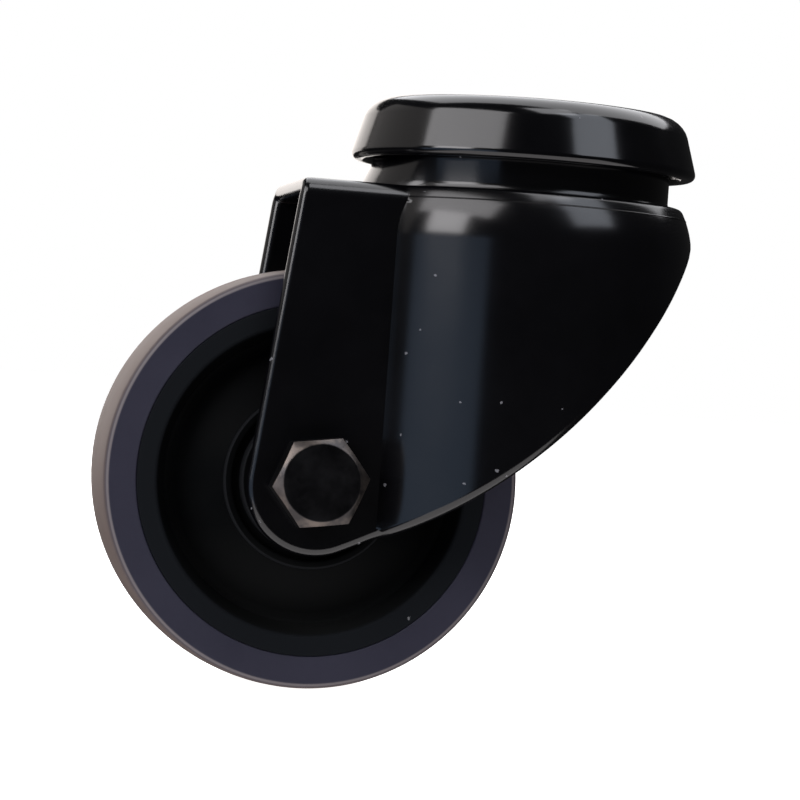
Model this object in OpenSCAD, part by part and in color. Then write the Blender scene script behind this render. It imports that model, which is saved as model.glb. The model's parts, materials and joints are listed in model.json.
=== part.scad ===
// Bolt hole swivel castor. A pressed head turns on two rings of balls over a
// pressed fork, and the fork carries a tyred wheel on a hexagon bolt.
// All sizes are in millimetres. The origin is the middle of the bolt hole at
// the head's top face. Z is the swivel axis and points up, the axle lies along
// Y, and the wheel trails towards -X.

/* [Wheel] */
// Diameter over the tread
wheel_d = 50; // [44:0.5:60]
// Width of the tyre
tyre_w = 18; // [15:0.5:22]
// Thickness of the tyre, from the hub's rim to the tread
tyre_t = 4.25; // [3.2:0.05:5]
// Rounding of the tyre's two shoulders
tyre_round = 0.8; // [0.6:0.1:2]
// Radius of the tread's gentle crown, across its width
tread_r = 100; // [70:5:200]
// Height of the ridge round the hub that keys the tyre
key_h = 1.2; // [0.6:0.1:1.8]
// Width of that ridge
key_w = 6; // [4:0.5:10]

/* [Hub] */
// Width of the hub's flat rim, along the radius
rim_t = 2.35; // [1.6:0.05:3]
// How far the rim's face leans in from the tyre's side to the dish
rim_dip = 0.3; // [0.1:0.05:0.6]
// Depth of the dish below the tyre's side
dish_d = 4.2; // [2.5:0.1:5.5]
// Lean of the dish's outer wall, along the radius
dish_lean = 1.2; // [0.4:0.1:2]
// Width of the dish's flat floor, along the radius
dish_floor = 0.9; // [0.4:0.1:2]
// Radius of the boss that runs against the fork
boss_r = 8.6; // [7.5:0.1:9.2]
// How far the boss stands out beyond the tyre's side
boss_over = 1.2; // [0.6:0.1:2]
// Width of the groove round the boss
moat_w = 0.9; // [0.5:0.1:1.5]
// Depth of that groove below the tyre's side
moat_d = 1.4; // [0.8:0.1:2]
// Width of the low ring round the groove
ring_w = 1; // [0.6:0.1:1.6]
// Height of the ring above the web
ring_h = 0.6; // [0.3:0.05:0.9]
// Depth of the ring's face below the tyre's side
ring_dip = 0.2; // [0:0.05:0.5]
// Bevel on the boss, the ring and the rim
hub_bevel = 0.35; // [0.2:0.05:0.5]

/* [Fork] */
// Thickness of the pressed sheet
sheet = 2; // [1.6:0.1:2.4]
// Play between the wheel's boss and each leg
leg_play = 0.3; // [0.15:0.05:0.8]
// Distance from the swivel axis to the axle
trail = 24.5; // [21:0.5:28]
// Gap between the tread and the underside of the crown
wheel_gap = 8.5; // [6:0.5:14]
// Radius of the legs' round ends
leg_end_r = 8.2; // [7.2:0.1:9.5]
// Lean of the legs' front edge, in degrees
front_lean = 6.6; // [2:0.2:12]
// Radius of the long curve along the lower edge
edge_r = 76; // [70:1:120]
// Height of the cup's wall at its back, below the crown
rear_wall = 3.5; // [2.5:0.25:6]
// Outer radius of the cup round the swivel
cup_r = 21.2; // [20.4:0.1:23]
// Outer radius of the cup's shoulder
shoulder_r = 3; // [2.8:0.1:4.5]
// Outer radius of the bends between the crown and the legs
bend_r = 3.5; // [2.8:0.1:5]
// Radius of the hollow where a leg runs into the cup
crease_r = 1; // [0.75:0.25:5]

/* [Head] */
// Thickness of the head's sheet
cap_sheet = 2; // [1.6:0.1:2.4]
// Height of the head
cap_h = 7.5; // [6.8:0.1:9]
// Rounding of the head's top edge
cap_round = 3.2; // [2.6:0.1:4]
// Lean of the head's side, in degrees
cap_lean = 16; // [8:1:22]
// How far the head's rim reaches beyond the collar's foot
rim_over = 1.55; // [1.2:0.05:3.5]
// Bevel under the head's rim
rim_bevel = 1; // [0.2:0.1:1.2]
// Gap between the head's rim and the crown
neck_h = 3.5; // [2:0.1:5]
// Diameter of the bolt hole
bolt_hole_d = 10.5; // [8.5:0.1:12.5]
// Wall of the hollow kingpin
pin_wall = 2.15; // [1.5:0.05:3]
// Step of the kingpin where it enters the head
pin_step = 0.8; // [0.4:0.05:1.2]
// Height of the flared end that holds the head
pin_flare = 1.2; // [0.6:0.1:1.5]
// Width of the kingpin's lower flange
flange_w = 3.1; // [1.5:0.1:4]
// Thickness of that flange
flange_t = 2; // [1.2:0.1:3]

/* [Ball races] */
// Diameter of the balls
ball_d = 4; // [3.6:0.1:4.4]
// Play between a ball and its races
ball_play = 0.1; // [0.05:0.01:0.15]
// Smallest gap between two balls of a ring
ball_gap = 0.3; // [0.1:0.05:1]
// How deep the balls sit in the head
cap_bite = 0.5; // [0.3:0.05:0.7]
// How deep the balls sit in the fork and in the lower race
race_bite = 0.9; // [0.5:0.05:1.1]
// Thickness of the fork's platform between the two rings of balls
platform_t = 2.4; // [2.2:0.1:3.2]
// Thickness of the lower race
race_t = 2.4; // [1.8:0.1:3.2]
// Play between the kingpin and the fork
pin_play = 1; // [0.6:0.1:1.6]
// Width of the lip inside the lower ring of balls
race_lip = 0.4; // [0.3:0.05:1]
// Step from the lower ring's radius to the upper's, beyond half a ball
race_step = 1; // [0.8:0.1:2]
// Width of the platform outside the upper ring of balls
collar_lip = 1.4; // [0.8:0.1:1.6]
// Bevel round the top of the collar
collar_bevel = 0.7; // [0.4:0.1:1]
// How far the collar spreads from its top to its ramp
collar_flare = 0.6; // [0.3:0.1:1]
// How far the ramp spreads at the collar's foot
ramp_w = 1.2; // [0.8:0.1:1.6]
// Height of that ramp above the crown
ramp_h = 2.7; // [2:0.1:3.5]
// Width of the lower race outside its balls
dish_lip = 1; // [0.6:0.1:1.5]
// Height of the lower race's turned up edge
dish_edge = 1.2; // [0.5:0.1:1.4]

/* [Axle] */
// Diameter of the axle bolt
bolt_d = 6; // [5:0.5:6.5]
// Width of the hexagons across their flats
hex_af = 10; // [9:0.5:11]
// Height of the bolt's head
head_h = 4; // [3:0.1:5]
// Turn of the bolt's head, in degrees
head_turn = 8; // [0:1:60]
// Radius of the flat on top of the head
head_flat_r = 4.35; // [4:0.05:4.5]
// Height of the nut's hexagon
nut_h = 4.4; // [3.5:0.1:6]
// Height of the nut's collar above its hexagon
nut_collar_h = 1.6; // [1.2:0.1:2.5]
// Wall of the nut's collar
nut_collar_t = 0.6; // [0.4:0.05:0.8]
// Turn of the nut, in degrees
nut_turn = 20; // [0:1:60]
// How far the bolt's end stands out of the nut
bolt_end = 1.5; // [0.5:0.1:4]
// Wall of the tube the wheel runs on
tube_t = 0.9; // [0.6:0.05:1.5]
// Play between the bolt and the holes it passes
bolt_play = 0.1; // [0.05:0.01:0.25]
// Play between the hub and the tube
hub_play = 0.06; // [0.03:0.01:0.1]

/* [Hidden] */
$fn = 96;
// Small overlap that lets two curves cross where they would only touch
blend = 0.02;

// The wheel, from its axis outwards
wheel_r = wheel_d / 2;
hub_r = wheel_r - tyre_t;
side_y = tyre_w / 2;
hub_half = side_y + boss_over;
tube_r = bolt_d / 2 + bolt_play + tube_t;

// The fork's widths
leg_in = hub_half + leg_play;
leg_out = leg_in + sheet;

// The rings of balls, from the kingpin outwards
ball_r = ball_d / 2;
groove_r = ball_r + ball_play;
hole_r = bolt_hole_d / 2;
pin_r = hole_r + pin_wall;
fork_hole_r = pin_r + pin_play;
lower_pitch = fork_hole_r + race_lip + ball_r;
upper_pitch = lower_pitch + ball_r + race_step;
platform_r = upper_pitch + ball_r + collar_lip;
collar_foot_r = platform_r + collar_bevel + collar_flare + ramp_w;
rim_r = collar_foot_r + rim_over;

// Depths below the head's top face
upper_depth = cap_sheet - cap_bite + groove_r;
platform_top = upper_depth + groove_r - race_bite;
platform_under = platform_top + platform_t;
lower_depth = platform_under - race_bite + groove_r;
race_top = lower_depth + groove_r - race_bite;
race_under = race_top + race_t;
pin_end = race_under + flange_t;
crown_depth = cap_h + neck_h;
crown_under = crown_depth + sheet;
axle_depth = crown_under + wheel_gap + wheel_r;
fork_deep = axle_depth + 2 * leg_end_r;

// The numbers of balls that fit the two rings
upper_n = floor(180 / asin((ball_d + ball_gap) / (2 * upper_pitch)));
lower_n = floor(180 / asin((ball_d + ball_gap) / (2 * lower_pitch)));

// The fork's side view: X to the right, Z up
axle = [-trail, -axle_depth];
front_normal = [-cos(front_lean), sin(front_lean)];
front_run = [sin(front_lean), cos(front_lean)];
front_foot = axle + leg_end_r * front_normal;
front_top = front_foot + (axle_depth + leg_end_r) * front_run;
front_reach = trail + 2 * leg_end_r;
// The lower edge is an arc that wraps the legs' ends and ends at the cup's back
cup_back = [cup_r, -(crown_depth + rear_wall)];
reach = norm(cup_back - axle);
along = (cup_back - axle) / reach;
across = [-along[1], along[0]];
arc_in = edge_r - leg_end_r;
arc_step = (arc_in ^ 2 - edge_r ^ 2 + reach ^ 2) / (2 * reach);
arc_rise = sqrt(arc_in ^ 2 - arc_step ^ 2);
arc_mid = axle + arc_step * along + arc_rise * across;
arc_foot = axle + leg_end_r * (axle - arc_mid) / arc_in;

// Half of an upright section with a rounded top corner, for turning
module half_section(half, top, round_r, deep) {
    translate([0, -deep])
        square([half, deep - top - round_r]);
    translate([0, -deep])
        square([half - round_r, deep - top]);
    translate([half - round_r, -top - round_r])
        circle(round_r);
}

// The whole section, with both top corners rounded, for a straight run
module full_section(half, top, round_r, deep) {
    half_section(half, top, round_r, deep);
    mirror([1, 0])
        half_section(half, top, round_r, deep);
}

// A ring cut by the balls, at a radius and a depth
module race(pitch, depth) {
    rotate_extrude()
        translate([pitch, -depth])
            circle(groove_r);
}

// Anything that turns on the axle is drawn along Z and laid along Y here
module on_axle(y = 0) {
    translate([-trail, y, -axle_depth])
        rotate([90, 0, 0])
            children();
}

// The head's section, inset by a sheet: a leaning side under a round shoulder
module cap_section(inset, foot) {
    lean_t = tan(cap_lean);
    side_r = rim_r - inset / cos(cap_lean);
    round_r = cap_round - inset;
    flat_r = rim_r - (cap_h - cap_round) * lean_t - cap_round / cos(cap_lean);
    touch = [flat_r + round_r * cos(cap_lean), -cap_round + round_r * sin(cap_lean)];
    polygon([
        [0, -cap_h - foot], [side_r + foot * lean_t, -cap_h - foot],
        touch, [flat_r, -cap_round], [flat_r, -inset], [0, -inset]
    ]);
    translate([flat_r, -cap_round])
        circle(round_r);
}

module head_cap() {
    color("#17181a")
    difference() {
        rotate_extrude()
            difference() {
                cap_section(0, 0);
                cap_section(cap_sheet, 1);
                // bevel under the rim
                translate([rim_r, -cap_h])
                    rotate(45)
                        square(rim_bevel * sqrt(2), center = true);
                // hole for the kingpin's neck, widened for its flared end
                polygon([
                    [0, 1], [pin_r + pin_flare - pin_step + 1, 1],
                    [pin_r - pin_step, -pin_flare],
                    [pin_r - pin_step, -cap_sheet - 1], [0, -cap_sheet - 1]
                ]);
            }
        race(upper_pitch, upper_depth);
    }
}

module kingpin() {
    neck_r = pin_r - pin_step;
    color("#2b2c2e")
    rotate_extrude()
        polygon([
            [hole_r, 0], [neck_r + pin_flare, 0], [neck_r, -pin_flare],
            [neck_r, -cap_sheet], [pin_r, -cap_sheet], [pin_r, -race_under],
            [pin_r + flange_w, -race_under], [pin_r + flange_w, -pin_end],
            [hole_r, -pin_end]
        ]);
}

module lower_race() {
    out_r = lower_pitch + ball_r + dish_lip;
    color("#3a3b3d")
    difference() {
        rotate_extrude()
            polygon([
                [pin_r, -race_top], [out_r - dish_lip, -race_top],
                [out_r - dish_lip / 2, -race_top + dish_edge],
                [out_r, -race_top + dish_edge],
                [out_r, -race_under + race_t / 3],
                [out_r - race_t / 3, -race_under], [pin_r, -race_under]
            ]);
        race(lower_pitch, lower_depth);
    }
}

module upper_ball(i) {
    color("#b9bcc0")
    rotate(i * 360 / upper_n)
        translate([upper_pitch, 0, -upper_depth])
            sphere(ball_r);
}

module lower_ball(i) {
    color("#b9bcc0")
    rotate(i * 360 / lower_n)
        translate([lower_pitch, 0, -lower_depth])
            sphere(ball_r);
}

// The pressing as a solid block, inset by a sheet: a cup and a straight channel
module fork_block(inset) {
    rotate_extrude()
        half_section(cup_r - inset, crown_depth + inset, shoulder_r - inset, fork_deep + inset);
    translate([-front_reach, 0, 0])
        rotate([90, 0, 90])
            linear_extrude(front_reach)
                full_section(leg_in + sheet - inset, crown_depth + inset, bend_r - inset, fork_deep + inset);
}

// The hollow that eases one leg's face into the cup, fading out at the shoulder
module fork_crease() {
    mid_y = leg_out + crease_r;
    mid_x = -sqrt((cup_r + crease_r) ^ 2 - mid_y ^ 2);
    out = [mid_x, mid_y] / (cup_r + crease_r);
    fade_top = crown_depth + shoulder_r / 2;
    fade_end = crown_depth + 2 * shoulder_r;
    intersection() {
        translate([0, 0, -fork_deep])
            linear_extrude(fork_deep)
                difference() {
                    polygon([
                        [mid_x, leg_out - sheet / 2], [mid_x, leg_out + sheet / 4],
                        (cup_r + sheet / 4) * out, (cup_r - sheet / 2) * out
                    ]);
                    translate([mid_x, mid_y] - blend * [0, 1])
                        circle(crease_r);
                }
        rotate_extrude()
            polygon([
                [0, -fade_top], [cup_r - sheet / 2, -fade_top],
                [cup_r + crease_r, -fade_end], [cup_r + crease_r, -fork_deep],
                [0, -fork_deep]
            ]);
    }
}

// The fork's outline from the side
module fork_side() {
    intersection() {
        polygon([
            front_top, front_foot, arc_foot,
            [2 * cup_r, arc_foot[1]], [2 * cup_r, front_top[1]]
        ]);
        translate(arc_mid)
            circle(edge_r, $fn = 360);
    }
    translate(axle)
        circle(leg_end_r + blend);
}

// The collar drawn up from the crown, inset by a wall, as a section for turning
module collar_section(top, wall, foot) {
    ramp_top = crown_depth - ramp_h;
    slope = collar_flare / (ramp_top - platform_top - collar_bevel);
    foot_r = collar_foot_r - wall + ramp_w / ramp_h * (foot - crown_depth);
    head_r = platform_r + collar_bevel - wall + slope * max(0, top - platform_top - collar_bevel);
    edge = wall > 0 ? 0 : collar_bevel;
    polygon([
        [0, -top], [head_r - edge, -top], [head_r, -top - edge],
        [collar_foot_r - ramp_w - wall, -ramp_top], [foot_r, -foot], [0, -foot]
    ]);
}

module fork() {
    color("#141517")
    difference() {
        union() {
            intersection() {
                difference() {
                    union() {
                        fork_block(0);
                        fork_crease();
                        mirror([0, 1, 0])
                            fork_crease();
                    }
                    fork_block(sheet);
                }
                rotate([90, 0, 0])
                    linear_extrude(3 * cup_r, center = true)
                        fork_side();
            }
            rotate_extrude()
                collar_section(platform_top, 0, crown_depth + sheet / 2);
        }
        rotate_extrude()
            collar_section(platform_under, sheet, crown_under + 1);
        translate([0, 0, -crown_under])
            cylinder(h = crown_under, r = fork_hole_r);
        race(upper_pitch, upper_depth);
        race(lower_pitch, lower_depth);
        on_axle()
            cylinder(h = 3 * leg_out, r = bolt_d / 2 + bolt_play, center = true);
    }
}

module axle_bolt() {
    shank = 2 * leg_out + nut_h + nut_collar_h + bolt_end;
    tip = bolt_d / 10;
    color("#26272a")
    on_axle(-leg_out) {
        intersection() {
            rotate(head_turn)
                cylinder(h = head_h, r = hex_af / 2 / cos(30), $fn = 6);
            cylinder(h = head_h, r1 = head_flat_r + head_h / tan(30), r2 = head_flat_r);
        }
        translate([0, 0, -shank + tip])
            cylinder(h = shank, r = bolt_d / 2);
        translate([0, 0, -shank])
            cylinder(h = tip, r1 = bolt_d / 2 - tip, r2 = bolt_d / 2);
    }
}

// Sizes that the nut and its insert share
nut_ring_r = hex_af / 2 - hex_af / 20;
insert_r = nut_ring_r - nut_collar_t;

module axle_nut() {
    color("#2e2f32")
    on_axle(leg_out)
    mirror([0, 0, 1])
    difference() {
        union() {
            intersection() {
                rotate(nut_turn)
                    cylinder(h = nut_h, r = hex_af / 2 / cos(30), $fn = 6);
                cylinder(h = nut_h, r1 = head_flat_r, r2 = head_flat_r + nut_h / tan(30));
                cylinder(h = nut_h, r1 = head_flat_r + nut_h / tan(30), r2 = head_flat_r);
            }
            rotate_extrude()
                polygon([
                    [0, nut_h / 2], [nut_ring_r, nut_h / 2],
                    [nut_ring_r, nut_h + nut_collar_h / 2],
                    [nut_ring_r - nut_collar_t, nut_h + nut_collar_h],
                    [0, nut_h + nut_collar_h]
                ]);
        }
        translate([0, 0, -1])
            cylinder(h = nut_h + nut_collar_h + 2, r = bolt_d / 2);
        translate([0, 0, nut_h])
            cylinder(h = nut_collar_h + 1, r = insert_r);
    }
}

module nut_insert() {
    color("#3b5a8c")
    on_axle(leg_out)
    mirror([0, 0, 1])
    translate([0, 0, nut_h])
    difference() {
        cylinder(h = nut_collar_h, r = insert_r);
        translate([0, 0, -1])
            cylinder(h = nut_collar_h + 2, r = bolt_d / 2);
    }
}

module axle_tube() {
    color("#8f9296")
    on_axle()
    difference() {
        cylinder(h = 2 * leg_in, r = tube_r, center = true);
        cylinder(h = 2 * leg_in + 2, r = bolt_d / 2 + bolt_play, center = true);
    }
}

// One side of the hub's section, from its bore out to the tyre
function hub_side() =
    let (
        ring_in = boss_r + moat_w,
        ring_out = ring_in + ring_w,
        rim_in = hub_r - rim_t,
        floor_out = rim_in - dish_lean,
        web_y = side_y - ring_dip - ring_h
    )
    [
        [tube_r + hub_play, hub_half], [boss_r - hub_bevel, hub_half],
        [boss_r, hub_half - hub_bevel], [boss_r, side_y - moat_d],
        [ring_in, side_y - moat_d], [ring_in, side_y - ring_dip - hub_bevel],
        [ring_in + hub_bevel, side_y - ring_dip],
        [ring_out - hub_bevel, side_y - ring_dip], [ring_out, side_y - ring_dip - hub_bevel],
        [ring_out, web_y], [floor_out - dish_floor, side_y - dish_d],
        [floor_out, side_y - dish_d], [rim_in, side_y - rim_dip - hub_bevel],
        [rim_in + hub_bevel, side_y - rim_dip], [hub_r, side_y],
        [hub_r, key_w / 2], [hub_r + key_h, key_w / 2]
    ];

module wheel_hub() {
    side = hub_side();
    last = len(side) - 1;
    color("#1c1d1f")
    on_axle()
    rotate_extrude()
        polygon(concat(
            side,
            [for (i = [last : -1 : 0]) [side[i][0], -side[i][1]]]
        ));
}

module tyre() {
    round_y = side_y - tyre_round;
    crown_x = wheel_r - tread_r;
    round_x = crown_x + sqrt(tread_r ^ 2 - round_y ^ 2) - tyre_round + blend;
    color("#4b4c57")
    on_axle()
    rotate_extrude()
        difference() {
            intersection() {
                union() {
                    polygon([
                        [hub_r, -side_y], [round_x, -side_y], [round_x, -round_y],
                        [wheel_r + 1, -round_y], [wheel_r + 1, round_y],
                        [round_x, round_y], [round_x, side_y], [hub_r, side_y]
                    ]);
                    for (s = [-1, 1])
                        translate([round_x, s * round_y])
                            circle(tyre_round);
                }
                translate([crown_x, 0])
                    circle(tread_r, $fn = 720);
            }
            translate([hub_r - 1, -key_w / 2])
                square([key_h + 1, key_w]);
        }
}

head_cap();
kingpin();
lower_race();
fork();
axle_bolt();
axle_nut();
nut_insert();
axle_tube();
wheel_hub();
tyre();
for (i = [1 : upper_n])
    upper_ball(i);
for (i = [1 : lower_n])
    lower_ball(i);
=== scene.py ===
# %% [markdown]
# # A small swivel castor in gloss black
# The castor is a pressed round head, a pressed fork that swivels under it on two rings of balls,
# and a tyred wheel on a hexagon bolt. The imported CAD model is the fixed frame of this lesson: it gives
# every place and size, and each visible piece is made again here with the soft edges that pressing,
# turning and moulding leave. Small inner pieces keep their CAD mesh and only get a finish.

import json
from math import atan2, cos, pi, radians, sin, sqrt, tan, tau

import bmesh
import bpy
from mathutils import Matrix, Vector


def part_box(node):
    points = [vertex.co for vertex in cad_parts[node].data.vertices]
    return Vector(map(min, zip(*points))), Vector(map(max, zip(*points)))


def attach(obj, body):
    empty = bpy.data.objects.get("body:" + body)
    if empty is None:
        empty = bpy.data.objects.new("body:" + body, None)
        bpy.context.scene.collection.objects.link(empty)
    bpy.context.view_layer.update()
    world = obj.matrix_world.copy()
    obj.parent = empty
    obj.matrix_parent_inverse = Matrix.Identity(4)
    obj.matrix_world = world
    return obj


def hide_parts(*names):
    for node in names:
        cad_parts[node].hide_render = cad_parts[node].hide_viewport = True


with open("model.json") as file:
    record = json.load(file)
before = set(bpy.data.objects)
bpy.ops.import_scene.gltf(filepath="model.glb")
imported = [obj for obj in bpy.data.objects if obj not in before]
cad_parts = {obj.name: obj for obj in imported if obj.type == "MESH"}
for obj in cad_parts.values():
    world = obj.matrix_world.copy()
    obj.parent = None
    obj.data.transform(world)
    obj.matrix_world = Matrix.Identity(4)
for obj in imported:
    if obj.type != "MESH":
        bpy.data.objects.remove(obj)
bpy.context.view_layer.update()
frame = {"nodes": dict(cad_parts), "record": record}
MM = 0.001
print("nodes in the frame:", len(frame["nodes"]))

# %% [markdown]
# ## Places to build on
# The CAD boxes say where things are, so the lesson reads them instead of repeating numbers. The tyre's
# box gives the axle and the wheel's size, the tube between the legs gives the width inside the fork,
# and the head's box gives the height of its rim. Lengths are kept in millimetres from here on.

# %% Read the axle, the legs and the head
tyre_low, tyre_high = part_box("tyre")
tube_low, tube_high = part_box("axle_tube")
head_low, head_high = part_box("head_cap")
pin_low, pin_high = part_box("kingpin")
AXLE = (tyre_low + tyre_high) / 2
WHEEL_R = (tyre_high.x - tyre_low.x) / 2 / MM
TYRE_HALF = tyre_high.y / MM
LEG_IN = tube_high.y / MM
SHEET = 2.0
LEG_OUT = LEG_IN + SHEET
RIM_Z = head_low.z / MM
CROWN_Z = RIM_Z - 3.5
PIN_END = pin_low.z / MM
CUP_R = 21.2
AXLE_X = AXLE.x / MM
AXLE_Z = AXLE.z / MM
print(f"axle at x {AXLE_X:.2f}, z {AXLE_Z:.2f}; wheel radius {WHEEL_R:.2f}; leg faces at y {LEG_OUT:.2f}")
print(f"rim at z {RIM_Z:.2f}, crown at z {CROWN_Z:.2f}")

# %% [markdown]
# ## A lathe for the round pieces
# Head, collar, kingpin, hub and tyre are all round, so one helper turns them. It draws half a section
# as a wire of corners, rounds each corner by its own amount with a vertex bevel, and spins the wire.
# Rounding the wire first costs far less than bevelling the finished ring, and every corner can have its
# own softness. A weighted normal modifier keeps the flat faces flat beside the small roundings.

# %% Helpers for turned pieces
TURN_STEPS = 144


def section_wire(bm, corners, closed):
    """Draws (radius, height, rounding) corners in millimetres as a wire and rounds each corner."""
    points = [bm.verts.new((radius * MM, 0, height * MM)) for radius, height, rounding in corners]
    for near, far in zip(points, points[1:]):
        bm.edges.new((near, far))
    if closed:
        bm.edges.new((points[-1], points[0]))
    for point, (radius, height, rounding) in zip(points, corners):
        if rounding:
            bmesh.ops.bevel(bm, geom=[point], offset=rounding * MM, offset_type="OFFSET", affect="VERTICES",
                            segments=6, profile=0.5, material=-1)


def turn(corners, closed=True, steps=TURN_STEPS):
    """Spins a section wire into a solid round the Z axis."""
    bm = bmesh.new()
    section_wire(bm, corners, closed)
    bmesh.ops.spin(bm, geom=bm.verts[:] + bm.edges[:], cent=(0, 0, 0), axis=(0, 0, 1), dvec=(0, 0, 0),
                   angle=tau, steps=steps, use_merge=True, use_normal_flip=False, use_duplicate=False)
    bmesh.ops.remove_doubles(bm, verts=bm.verts, dist=1e-6)
    bmesh.ops.recalc_face_normals(bm, faces=bm.faces)
    return bm


def lay_on_axle(bm, y=0.0, turned_over=False):
    """Lays a turned piece along Y at the axle, its Z towards -Y, or towards +Y where it is turned over."""
    angle = -pi / 2 if turned_over else pi / 2
    bmesh.ops.rotate(bm, verts=bm.verts, cent=(0, 0, 0), matrix=Matrix.Rotation(angle, 3, "X"))
    bmesh.ops.translate(bm, verts=bm.verts, vec=(AXLE.x, y * MM, AXLE.z))


def keep(bm, name, body, replaced=()):
    """Makes a smooth shaded object of the mesh, in place, that rides on a body."""
    mesh = bpy.data.meshes.new(name)
    for face in bm.faces:
        face.smooth = True
    bm.to_mesh(mesh)
    bm.free()
    piece = bpy.data.objects.new(name, mesh)
    bpy.context.scene.collection.objects.link(piece)
    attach(piece, body)
    if replaced:
        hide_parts(*replaced)
    print(f"{name}: {len(mesh.polygons)} faces, rides on {body}")
    return piece


def even_shading(piece):
    """Weights the normals by face area, so that broad faces stay flat."""
    weigh = piece.modifiers.new("Even shading", "WEIGHTED_NORMAL")
    weigh.keep_sharp = True


def soft_edges(piece, width, angle):
    """Rounds the edges that are sharper than an angle in degrees."""
    soft = piece.modifiers.new("Soft edges", "BEVEL")
    soft.width = width * MM
    soft.segments = 3
    soft.limit_method = "ANGLE"
    soft.angle_limit = radians(angle)


# %% [markdown]
# ## The head
# The head is a shallow pressed cap of 2 mm sheet. Its side leans out by 16 degrees and runs into the flat
# top through a broad round shoulder, and the press left its rim rolled and soft. Inside, a groove holds the
# upper balls. A turned section gives all of this at once.

# %% Turn the head
CAP_LEAN = tan(radians(16))
RIM_R = 21.25
cap_corner = RIM_R + RIM_Z * CAP_LEAN
head = turn([
    (7.8, 0.0, 0.1),
    (cap_corner, 0.0, 2.4),
    (RIM_R, RIM_Z, 1.1),
    (RIM_R - 2.08, RIM_Z, 0.6),
    (RIM_R - 2.08 + (RIM_Z + 2.0) * CAP_LEAN, -2.0, 1.0),
    (15.3, -2.0, 0.15),
    (14.7, -1.45, 0.4),
    (12.9, -1.45, 0.4),
    (12.3, -2.0, 0.15),
    (6.65, -2.0, 0.0),
    (6.65, -1.2, 0.0),
])
head_cap = keep(head, "head_pressing", "head", ["head_cap"])
even_shading(head_cap)

# %% [markdown]
# ## The kingpin
# A hollow rivet carries everything: its upper end is flared into the head's countersunk hole, and its lower
# flange holds the lower race. The fixing bolt passes through it. It is turned in the same way, with a
# rolled lip where the rivet tool spread it.

# %% Turn the kingpin
kingpin = turn([
    (5.25, 0.0, 0.45),
    (7.8, 0.0, 0.15),
    (6.6, -1.2, 0.1),
    (6.6, -2.0, 0.0),
    (7.4, -2.0, 0.1),
    (7.4, -12.0, 0.1),
    (10.5, -12.0, 0.3),
    (10.5, PIN_END, 0.7),
    (5.25, PIN_END, 0.35),
], steps=96)
kingpin_piece = keep(kingpin, "hollow_kingpin", "head", ["kingpin"])
even_shading(kingpin_piece)

# %% [markdown]
# ## The fork's pressing, level by level
# The fork is one sheet: a round cup behind, two flat legs in front, a crease where each leg runs into the
# cup, a flat crown, and a broad bend all round it. Seen from above, every level of it is a line, a large
# arc round the swivel, and a line again. Round the bend the crease opens into a small arc that curls
# outwards. One helper draws a level by spinning a vertex along each arc, so no list of points is needed.

# %% Write the helper for one level
BEND_R = 2.2
CREASE_STEPS = 8
CUP_STEPS = 120
FRONT_X = AXLE_X - 17.0


def sweep(bm, vertex, x, y, angle, steps):
    """Draws an arc from a vertex round an upright axis and returns the arc's last vertex."""
    arc = bmesh.ops.spin(bm, geom=[vertex], cent=(x * MM, y * MM, 0), axis=(0, 0, 1), dvec=(0, 0, 0),
                         angle=angle, steps=steps, use_merge=False, use_normal_flip=False,
                         use_duplicate=False)
    return [item for item in arc["geom_last"] if isinstance(item, bmesh.types.BMVert)][0]


def level(bm, inset, lean, height):
    """Draws one level of the pressing, set in all round, its cup drawn in further by a lean."""
    drawn_before = set(bm.edges)
    leg_y = LEG_OUT - inset
    crease_x = -sqrt((CUP_R - lean) ** 2 - LEG_OUT ** 2)
    slant = atan2(LEG_OUT, -crease_x)
    near_front = bm.verts.new((FRONT_X * MM, -leg_y * MM, height * MM))
    near_crease = bm.verts.new((crease_x * MM, -leg_y * MM, height * MM))
    bm.edges.new((near_front, near_crease))
    near_cup = sweep(bm, near_crease, crease_x, -LEG_OUT, slant - pi / 2, CREASE_STEPS)
    far_cup = sweep(bm, near_cup, 0, 0, 2 * (pi - slant), CUP_STEPS)
    far_crease = sweep(bm, far_cup, crease_x, LEG_OUT, slant - pi / 2, CREASE_STEPS)
    far_front = bm.verts.new((FRONT_X * MM, leg_y * MM, height * MM))
    bm.edges.new((far_crease, far_front))
    return [edge for edge in bm.edges if edge not in drawn_before]


# %% [markdown]
# ## The fork's side view
# The legs lean forward and end in a round a little below the bolt, and one long curve runs from there up
# to the back of the cup. That curve is an arc that touches the round end of the leg and passes through the
# cup's back edge, so two circles are enough to find it.

# %% Work out the side view
LEG_END_R = 8.2
END_DROP = 0.6
FRONT_LEAN = radians(6.6)
EDGE_R = 84.0
BACK_DROP = 3.5
CREASE_X = -sqrt(CUP_R ** 2 - LEG_OUT ** 2)
end_mid = Vector((AXLE_X, AXLE_Z - END_DROP))
cup_back = Vector((CUP_R, CROWN_Z - BACK_DROP))
reach = (cup_back - end_mid).length
along = (cup_back - end_mid) / reach
across = Vector((-along.y, along.x))
arc_in = EDGE_R - LEG_END_R
arc_step = (arc_in ** 2 - EDGE_R ** 2 + reach ** 2) / (2 * reach)
arc_mid = end_mid + along * arc_step + across * sqrt(arc_in ** 2 - arc_step ** 2)


def edge_height(x):
    """The height of the long lower edge at a place along X."""
    return arc_mid.y - sqrt(EDGE_R ** 2 - (x - arc_mid.x) ** 2)


def cut(bm, middle, radius, angle):
    """Cuts off what lies outside the tangent of a circle in the side view, at an angle from +X."""
    out = Vector((cos(angle), 0, sin(angle)))
    at = Vector((middle.x * MM, 0, middle.y * MM)) + out * radius * MM
    bmesh.ops.bisect_plane(bm, geom=bm.verts[:] + bm.edges[:] + bm.faces[:], dist=1e-7, plane_co=at,
                           plane_no=out, clear_outer=True, clear_inner=False)


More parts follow.
